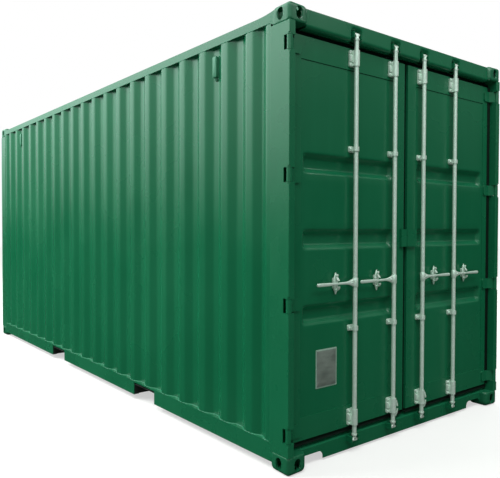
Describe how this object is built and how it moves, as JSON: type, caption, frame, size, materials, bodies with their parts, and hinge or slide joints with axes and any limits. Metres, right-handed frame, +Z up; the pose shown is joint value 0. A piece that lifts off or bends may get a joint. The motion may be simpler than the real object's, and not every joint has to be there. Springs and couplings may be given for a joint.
{
  "type": "shipping container",
  "caption": "Corrugated steel freight box with corner castings, two hinged doors, turning lock rods with handles, fork pockets and a boarded floor.",
  "frame": {"origin": "middle of the base, at the level of the lower castings' undersides", "axes": "+X to the right for someone facing the doors, +Y from the door end to the front end, +Z up"},
  "size_m": [2.438, 6.058, 2.896],
  "materials": {
    "green_paint": "semi-gloss marine enamel",
    "painted_casting": "painted steel casting",
    "base_paint": "dark underbody coating",
    "galvanised_steel": "hot-dip galvanised",
    "gasket_rubber": "extruded rubber",
    "plywood": "sealed hardwood plywood",
    "vent_plastic": "painted moulding"
  },
  "bodies": {
    "frame": {"bottom_corner_castings": "painted_casting", "top_corner_castings": "painted_casting", "rear_posts": "green_paint", "front_posts": "green_paint", "hinge_lugs": "green_paint", "door_header": "green_paint", "header_face_boxes": "green_paint", "header_cap": "green_paint", "door_sill": "green_paint", "front_top_rail": "green_paint", "front_bottom_rail": "green_paint", "top_side_rails": "green_paint", "bottom_side_rails": "green_paint", "left_side_wall": "green_paint", "right_side_wall": "green_paint", "front_wall": "green_paint", "roof": "green_paint", "front_header_plate": "green_paint", "floor_boards": "plywood", "fork_pockets": "base_paint", "cross_members": "base_paint", "side_ventilators": "vent_plastic", "cam_keepers": "green_paint"},
    "left_door": {"left_door_stiles": "green_paint", "left_door_cross_bars": "green_paint", "left_door_panel": "green_paint", "left_door_gasket": "gasket_rubber", "left_door_hinge_blades": "green_paint", "left_door_rod_brackets": "galvanised_steel", "left_door_handle_retainers": "galvanised_steel", "left_door_lock_plate": "green_paint"},
    "right_door": {"right_door_stiles": "green_paint", "right_door_cross_bars": "green_paint", "right_door_panel": "green_paint", "right_door_gasket": "gasket_rubber", "right_door_hinge_blades": "green_paint", "right_door_rod_brackets": "galvanised_steel", "right_door_handle_retainers": "galvanised_steel", "right_door_lock_plate": "green_paint"},
    "left_outer_lock_rod": {"left_outer_rod": "galvanised_steel", "left_outer_handle": "galvanised_steel"},
    "left_inner_lock_rod": {"left_inner_rod": "galvanised_steel", "left_inner_handle": "galvanised_steel"},
    "right_outer_lock_rod": {"right_outer_rod": "galvanised_steel", "right_outer_handle": "galvanised_steel"},
    "right_inner_lock_rod": {"right_inner_rod": "galvanised_steel", "right_inner_handle": "galvanised_steel"}
  },
  "joints": [
    {"name": "left_door_hinge", "type": "hinge", "parent": "frame", "child": "left_door", "pos_m": [-1.201, -3.011, 1.4525], "axis": [0, 0, -1], "range_deg": [0, 260]},
    {"name": "right_door_hinge", "type": "hinge", "parent": "frame", "child": "right_door", "pos_m": [1.201, -3.011, 1.4525], "axis": [0, 0, 1], "range_deg": [0, 260]},
    {"name": "left_outer_rod_turn", "type": "hinge", "parent": "left_door", "child": "left_outer_lock_rod", "pos_m": [-0.588, -3.001, 1.158], "axis": [0, 0, -1], "range_deg": [-105, 0]},
    {"name": "left_inner_rod_turn", "type": "hinge", "parent": "left_door", "child": "left_inner_lock_rod", "pos_m": [-0.172, -3.001, 1.158], "axis": [0, 0, -1], "range_deg": [-105, 0]},
    {"name": "right_outer_rod_turn", "type": "hinge", "parent": "right_door", "child": "right_outer_lock_rod", "pos_m": [0.588, -3.001, 1.158], "axis": [0, 0, 1], "range_deg": [-105, 0]},
    {"name": "right_inner_rod_turn", "type": "hinge", "parent": "right_door", "child": "right_inner_lock_rod", "pos_m": [0.172, -3.001, 1.158], "axis": [0, 0, 1], "range_deg": [-105, 0]}
  ]
}
